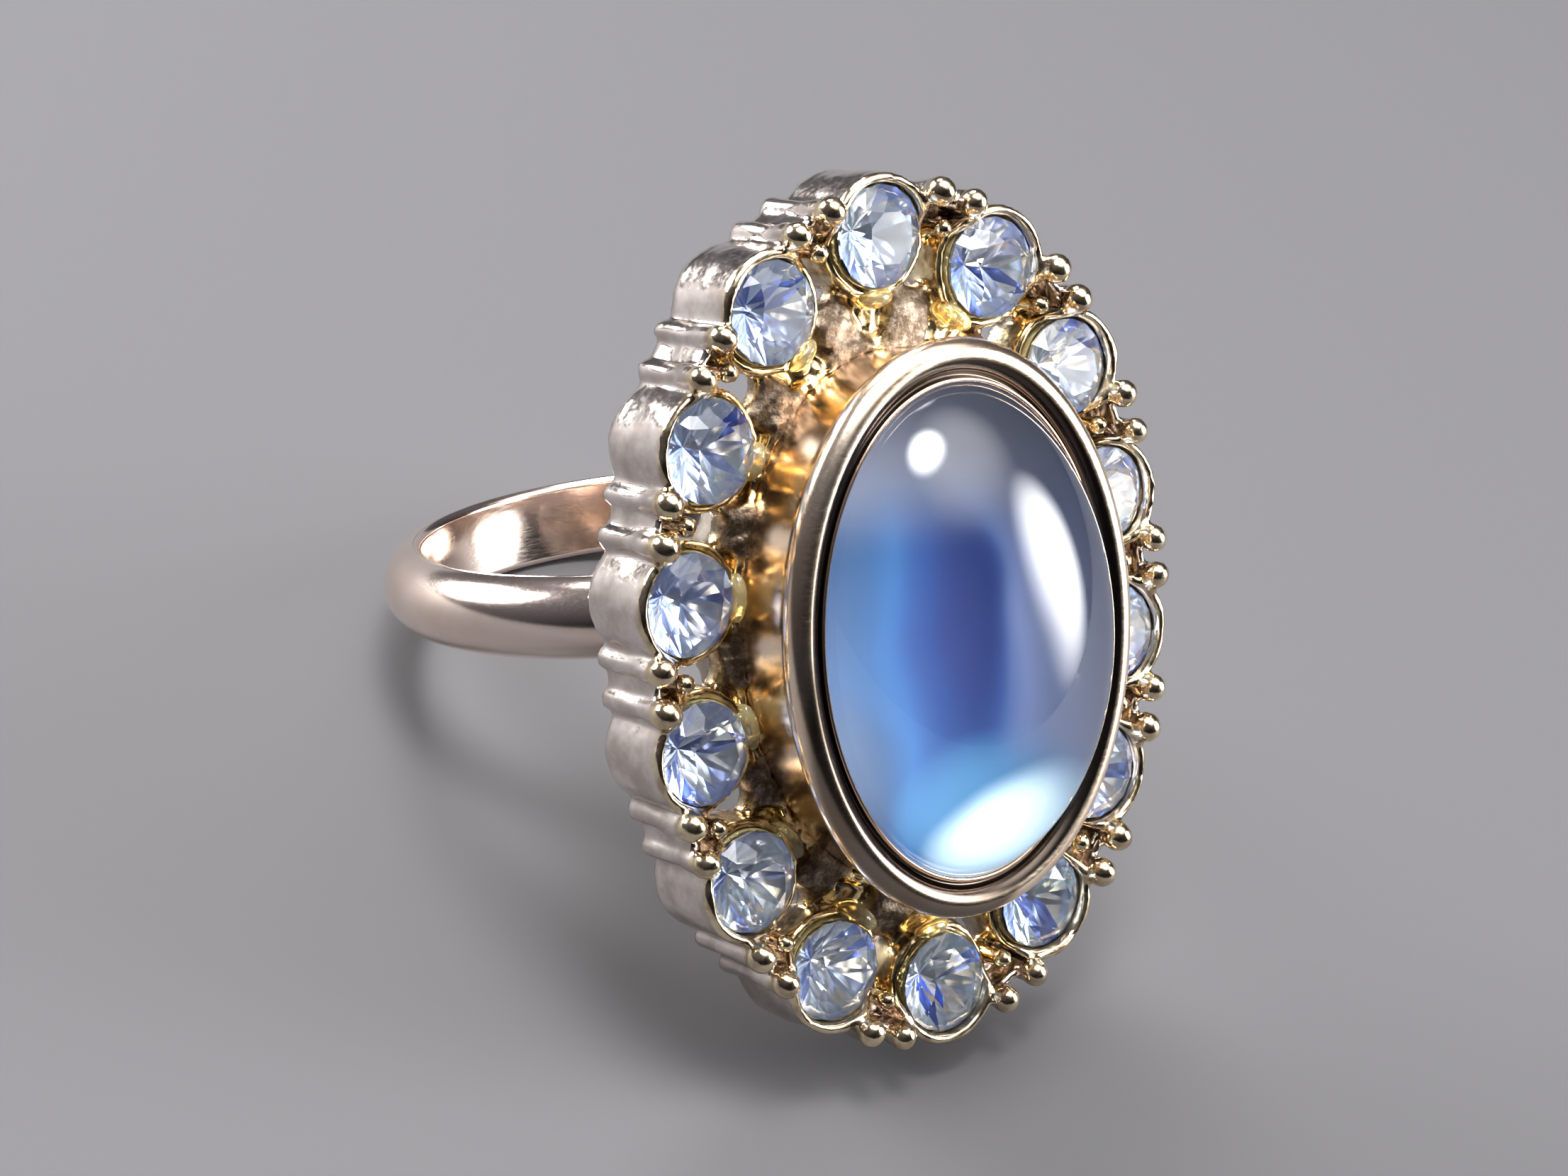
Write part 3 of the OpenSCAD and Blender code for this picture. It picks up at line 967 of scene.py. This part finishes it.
def centre_bezel():
    """Oval cup whose wall flares into a rolled rim, with a groove and a lip at the dome."""
    sides = 288
    profile, roll_start, groove_start, groove_end, lip_end = bezel_section()
    inside_z = BEZEL_FOOT_Z + 0.6
    rings = [oval_ring(CAB_A * 0.5, CAB_B * 0.5, 0, BEZEL_FOOT_Z, sides)]
    for spread, out, z in profile:
        rings.append(oval_ring(CAB_A * spread, CAB_B * spread, out, z, sides))
    rings.append(oval_ring(CAB_A * 0.5, CAB_B * 0.5, 0, inside_z, sides))
    points, faces = closed_loft(rings, (0, 0, BEZEL_FOOT_Z), (0, 0, inside_z))
    piece = build("bezel_cup", points, faces)
    # Painted shade in the groove and a painted dark reflection on the roll, widest towards -x,
    # -y
    around = np.degrees(np.arctan2(points[:, 1] / CAB_B, points[:, 0] / CAB_A)) % 360
    inward = (np.arange(len(points)) // sides - 1 - roll_start) / (ROLL_POINTS - 1)
    clean = 1.15 - 0.90 * ramp(around, 140, 210) + 0.90 * ramp(around, 262, 300)
    shade_and_dark_reflection = 0.80 * ramp(inward, clean - 0.12, clean + 0.12)
    shade_and_dark_reflection[(groove_end + 1) * sides:] = 0
    shade_and_dark_reflection[(groove_start + 1) * sides:(groove_end + 1) * sides] = 1
    paint(piece, "shade_and_dark_reflection", shade_and_dark_reflection)
    copper = np.zeros(len(points))
    copper[(groove_end + 1) * sides:(lip_end + 1) * sides] = 1
    paint(piece, "copper", copper)
    stand_for(piece, "centre_bezel", "bezel_gold", BEZEL_METAL)


def cabochon():
    """Glass dome with full sides; its flat back is foiled."""
    sides, levels = 192, 56
    height = CAB_TOP_Z - CAB_EDGE_Z
    rings = [oval_ring(CAB_A, CAB_B, -BACK_EDGE, DOME_BACK_Z, sides)]
    for turn in np.linspace(0, 90, 6)[1:]:
        bend = math.radians(turn)
        out = -BACK_EDGE * (1 - math.sin(bend))
        z = CAB_BASE_Z + BACK_EDGE_H * (1 - math.cos(bend))
        rings.append(oval_ring(CAB_A, CAB_B, out, z, sides))
    for lift in np.linspace(0, math.radians(89.2), levels):
        spread = math.cos(lift) ** (2 / DOME_POWER)
        rise = math.sin(lift) ** (2 / DOME_POWER)
        z = CAB_EDGE_Z + height * rise
        rings.append(oval_ring(CAB_A * spread, CAB_B * spread, 0, z, sides))
    points, faces = closed_loft(rings, (0, 0, DOME_BACK_Z), (0, 0, CAB_TOP_Z))
    piece = build("cabochon_dome", points, faces)
    stand_for(piece, "cabochon", "cabochon_glass", DOME, FOIL)
    for face in piece.data.polygons:
        if face.center.dot(OUTWARD) / MM < DOME_BACK_Z + 0.001:
            face.material_index = 1
            face.use_smooth = False


def gem_shape():
    """Points and faces of a round stone cut with a table, stars, kites, a girdle band and
    a pointed back of main and half facets, about its own girdle."""
    crown = TABLE_Z - GIRDLE_Z
    depth = GIRDLE_Z - GIRDLE_BAND - TIP_Z

    def around(count, radius, z, turn=0.0):
        angles = [2 * math.pi * (i + turn) / count for i in range(count)]
        return [(radius * math.cos(t), radius * math.sin(t), z) for t in angles]

    points = around(8, TABLE_SHARE * STONE_R, crown, 0.5)
    points += around(8, STAR_SHARE * STONE_R, STAR_RISE * crown)
    points += around(16, STONE_R, 0.0) + around(16, STONE_R, -GIRDLE_BAND)
    points += around(8, BACK_SHARE * STONE_R, -GIRDLE_BAND - BACK_DEPTH * depth, 0.5)
    points.append((0.0, 0.0, -GIRDLE_BAND - depth))
    table, star, upper, lower, half, tip = 0, 8, 16, 32, 48, 56
    faces = [tuple(range(8))]
    for i in range(8):
        last, after = (i + 7) % 8, (i + 1) % 8
        g = 2 * i
        faces.append((table + last, star + i, table + i))
        faces.append((star + i, upper + (g + 15) % 16, upper + g))
        faces.append((star + i, upper + g, upper + (g + 1) % 16))
        faces.append((table + i, star + i, upper + (g + 1) % 16, star + after))
    for i in range(16):
        j = (i + 1) % 16
        faces.append((upper + i, lower + i, lower + j, upper + j))
    for i in range(8):
        g = 2 * i
        before, after = (g + 15) % 16, (g + 1) % 16
        faces.append((lower + before, half + (i + 7) % 8, lower + g))
        faces.append((lower + g, half + i, lower + after))
        faces.append((lower + g, half + (i + 7) % 8, tip, half + i))
    return np.array(points), faces


def round_stones():
    """Fourteen foiled stones, each turned and tipped a little in its cup."""
    shape, faces = gem_shape()
    draw = np.random.RandomState(SEED + 1)
    for name, (centre, normal) in zip(STONES, STONE_SPOTS):
        turn, tip_u, tip_v = draw.uniform(0, math.pi / 4), *draw.uniform(-0.05, 0.05, 2)
        spin = Matrix.Rotation(turn, 3, "Z")
        tilt = Matrix.Rotation(tip_u, 3, "X") @ Matrix.Rotation(tip_v, 3, "Y")
        placed = shape @ np.array(tilt @ spin).T * 0.99 + np.array([*centre, GIRDLE_Z])
        piece = build("stone" + name[-3:], placed, faces, smooth=False)
        shades = draw.uniform(0, 1, len(piece.data.polygons))
        layer = piece.data.attributes.new("shade", "FLOAT", "FACE")
        layer.data.foreach_set("value", shades.astype(np.float32))
        stand_for(piece, name, "chaton_glass", STONE, STONE_BACK)
        for face in piece.data.polygons:
            below = face.center.dot(OUTWARD) / MM < GIRDLE_Z - 0.04
            face.material_index = 1 if below else 0


def cement_bed(spot, draw):
    """Cement under one stone, squeezed out towards the bezel."""
    (cx, cy), _ = spot
    reach = 3.6
    low = (cx - reach, cy - reach, CUP_FLOOR_Z - 0.3)
    high = (cx + reach, cy + reach, GIRDLE_Z + 0.4)
    solid = Solid(low, high, GLUE_STEP)
    wide, deep = draw.uniform(0.62, 0.82), draw.uniform(0.42, 0.56)
    top = draw.uniform(-0.22, -0.02)
    shift = draw.uniform(-0.2, 0.2)

    def plug(u, v, z):
        return post(u, v, z, 0, 0, CUP_R - 0.02, CUP_FLOOR_Z + 0.02, GIRDLE_Z - 0.16)

    def blob(u, v, z):
        squeeze = np.sqrt(
            ((u - shift) / wide) ** 2
            + ((v + CUP_R + 0.25) / deep) ** 2
            + ((z - GIRDLE_Z + 0.75 - top) / 0.8) ** 2
        )
        return (squeeze - 1) * 0.5

    def squeezed(u, v, z):
        capsule = np.sqrt(
            ((u - shift) / (wide + 0.05)) ** 2
            + ((v + CUP_R + 0.28) / 0.34) ** 2
            + ((z - GIRDLE_Z + 0.32 - top / 2) / 0.45) ** 2
        )
        return (capsule - 1) * 0.34

    def seat(u, v, z):
        """Room for the stone's pointed back."""
        belt_z = GIRDLE_Z - GIRDLE_BAND
        sunk = np.clip((belt_z - z) / (belt_z - TIP_Z), 0, 2)
        upper = 1 - (1 - BACK_SHARE) * sunk / BACK_DEPTH
        lower = BACK_SHARE * (1 - sunk) / (1 - BACK_DEPTH)
        return (np.hypot(u, v) - SEAT_ROOM - STONE_R * np.minimum(upper, lower)) * 0.7

    def stone(u, v, z):
        return post(u, v, z, 0, 0, STONE_R + 0.01, GIRDLE_Z - 0.13, GIRDLE_Z + 3)

    solid.join_at(spot, reach, plug, 0.05)
    solid.join_at(spot, reach, blob, 0.3)
    solid.join_at(spot, reach, squeezed, 0.1)
    solid.carve_at(spot, reach, seat, 0.03)
    solid.carve_at(spot, reach, stone, 0.03)
    _, x, y, z = solid.everywhere()
    wall = oval_distance(x, y, CAB_A + WALL_OUT, CAB_B + WALL_OUT)
    solid.field = smooth_max(solid.field, -wall, 0.05).astype(np.float32)
    return solid


def stone_glue():
    """A bed of clear yellow cement for each stone."""
    draw = np.random.RandomState(SEED + 2)
    for number, spot in enumerate(STONE_SPOTS, 1):
        points, faces = cement_bed(spot, draw).surface()
        piece = build(f"stone_glue_{number:02d}", points, faces)
        stand_for(piece, f"cup_cement_{number:02d}", "cement", GLUE)


halo_casting()
gallery_collar()
shank()
centre_bezel()
cabochon()
round_stones()
stone_glue()
for node, material in (("cabochon_foil", FOIL), ("cabochon_cement", CEMENT)):
    frame["nodes"][node].data.materials.clear()
    frame["nodes"][node].data.materials.append(material)

# --------------------------------------------------------- floor, world, lights, camera

HEAD_CENTRE = (0, 0, GIRDLE_Z + 0.15)
FLOOR_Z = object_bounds()[0][2]
FLOOR_R = 0.27

# Camera: degrees, then millimetres from the head's centre, then the lens
VIEW_TURN, VIEW_LIFT, VIEW_ROLL = 37.4, 14.5, -4.9
VIEW_DISTANCE = 117.6
AIM_RIGHT, AIM_UP = -4.61, 1.13
LENS, SENSOR = 77.3, 36


def floor():
    """A plain round table top."""
    sides = 96
    mesh = bpy.data.meshes.new("floor")
    turns = [2 * math.pi * i / sides for i in range(sides)]
    edge = [(FLOOR_R * math.cos(turn), FLOOR_R * math.sin(turn), FLOOR_Z) for turn in turns]
    mesh.from_pydata(edge, [], [tuple(range(sides))])
    plane = bpy.data.objects.new("floor", mesh)
    bpy.context.scene.collection.objects.link(plane)
    n = Nodes("pale_floor").set(Base_Color=(0.062, 0.060, 0.064, 1), Roughness=0.8)
    mesh.materials.append(n.material)
    plane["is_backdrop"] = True


def world():
    """A dim room, brighter above and behind; the camera itself sees a pale backdrop."""
    sky = bpy.data.worlds.new("studio")
    sky.use_nodes = True
    bpy.context.scene.world = sky
    tree = sky.node_tree

    def node(kind):
        return tree.nodes.new("ShaderNode" + kind)

    aim = node("TexCoord").outputs["Generated"]
    tilt = node("VectorMath")
    tilt.operation = "DOT_PRODUCT"
    tilt.inputs[1].default_value = (-0.15, 0.55, 0.82)
    tree.links.new(aim, tilt.inputs[0])
    height = node("MapRange")
    height.inputs[1].default_value, height.inputs[2].default_value = -0.6, 1.0
    tree.links.new(tilt.outputs["Value"], height.inputs[0])
    shade = node("ValToRGB")
    tree.links.new(height.outputs[0], shade.inputs[0])
    shade.color_ramp.elements[0].color = (0.015, 0.015, 0.018, 1)
    shade.color_ramp.elements[0].position = 0.3
    shade.color_ramp.elements[1].color = (0.17, 0.165, 0.185, 1)
    seen = node("Mix")
    seen.data_type = "RGBA"
    tree.links.new(node("LightPath").outputs["Is Camera Ray"], seen.inputs[0])
    tree.links.new(shade.outputs[0], seen.inputs[6])
    seen.inputs[7].default_value = (0.34, 0.33, 0.35, 1)
    background = tree.nodes["Background"]
    tree.links.new(seen.outputs[2], background.inputs["Color"])
    background.inputs["Strength"].default_value = 1.0


def lamp(name, direction, distance, size, power, core=0.22):
    """A soft-edged area light aimed at the head, seen from the head along direction. It
    fades from full at core to dark at 0.5, in shares of its width from its middle."""
    light = bpy.data.lights.new(name, "AREA")
    light.shape = "RECTANGLE"
    light.size, light.size_y = size
    light.energy = power
    light.use_nodes = True
    tree = light.node_tree
    spot = tree.nodes.new("ShaderNodeNewGeometry").outputs["Parametric"]
    away = tree.nodes.new("ShaderNodeVectorMath")
    away.operation = "DISTANCE"
    away.inputs[1].default_value = (0.5, 0.5, 0)
    tree.links.new(spot, away.inputs[0])
    fade = tree.nodes.new("ShaderNodeMapRange")
    fade.interpolation_type = "SMOOTHSTEP"
    fade.inputs[1].default_value, fade.inputs[2].default_value = 0.5, core
    fade.inputs[3].default_value, fade.inputs[4].default_value = 0.0, 2.5
    tree.links.new(away.outputs["Value"], fade.inputs[0])
    tree.links.new(fade.outputs[0], tree.nodes["Emission"].inputs["Strength"])
    holder = bpy.data.objects.new(name, light)
    bpy.context.scene.collection.objects.link(holder)
    aim = Vector(direction).normalized()
    holder.location = to_row(HEAD_CENTRE) + aim * distance
    holder.rotation_euler = aim.to_track_quat("Z", "Y").to_euler()


def lights():
    """Six soft lamps around the head."""
    lamp("overhead_lamp", (-0.11, 0.08, 1.0), 0.30, (0.18, 0.18), 2.2, core=0.08)
    lamp("right_window", (0.80, -0.50, 0.33), 0.30, (0.22, 0.30), 2.2, core=0.10)
    lamp("back_left", (-0.42, 0.87, 0.24), 0.40, (0.30, 0.18), 1.8)
    lamp("rim_light", (-0.54, 0.71, 0.38), 0.40, (0.22, 0.22), 1.6)
    lamp("ceiling", (0.25, -0.10, 0.95), 0.40, (0.62, 0.62), 2.0, core=0.1)
    lamp("back_top", (0.15, 0.75, 0.75), 0.40, (0.24, 0.18), 1.4)


def camera():
    """Looks at the head from its -x, +y side, rolled a little."""
    turn, lift, roll = (math.radians(angle) for angle in (VIEW_TURN, VIEW_LIFT, VIEW_ROLL))
    flat = math.cos(lift)
    back = Vector((-math.sin(turn) * flat, math.sin(lift), math.cos(turn) * flat))
    side = (-back).cross(Vector((0, 1, 0))).normalized()
    up = side.cross(-back)
    right = side * math.cos(roll) + up * math.sin(roll)
    top = up * math.cos(roll) - side * math.sin(roll)
    centre = Vector(HEAD_CENTRE)
    eye = centre + back * VIEW_DISTANCE
    aim = centre + right * AIM_RIGHT + top * AIM_UP
    ahead = (aim - eye).normalized()
    right = ahead.cross(top).normalized()
    top = right.cross(ahead)
    view = HEAD @ Matrix((right, top, -ahead)).transposed()
    lens = bpy.data.cameras.new("camera")
    lens.lens = LENS
    lens.sensor_width = SENSOR
    lens.clip_start = 0.005
    lens.clip_end = 10
    holder = bpy.data.objects.new("camera", lens)
    holder.matrix_world = Matrix.Translation(to_row(eye)) @ view.to_4x4()
    bpy.context.scene.collection.objects.link(holder)
    bpy.context.scene.camera = holder


floor()
world()
lights()
camera()
bpy.context.scene.view_settings.view_transform = "Standard"
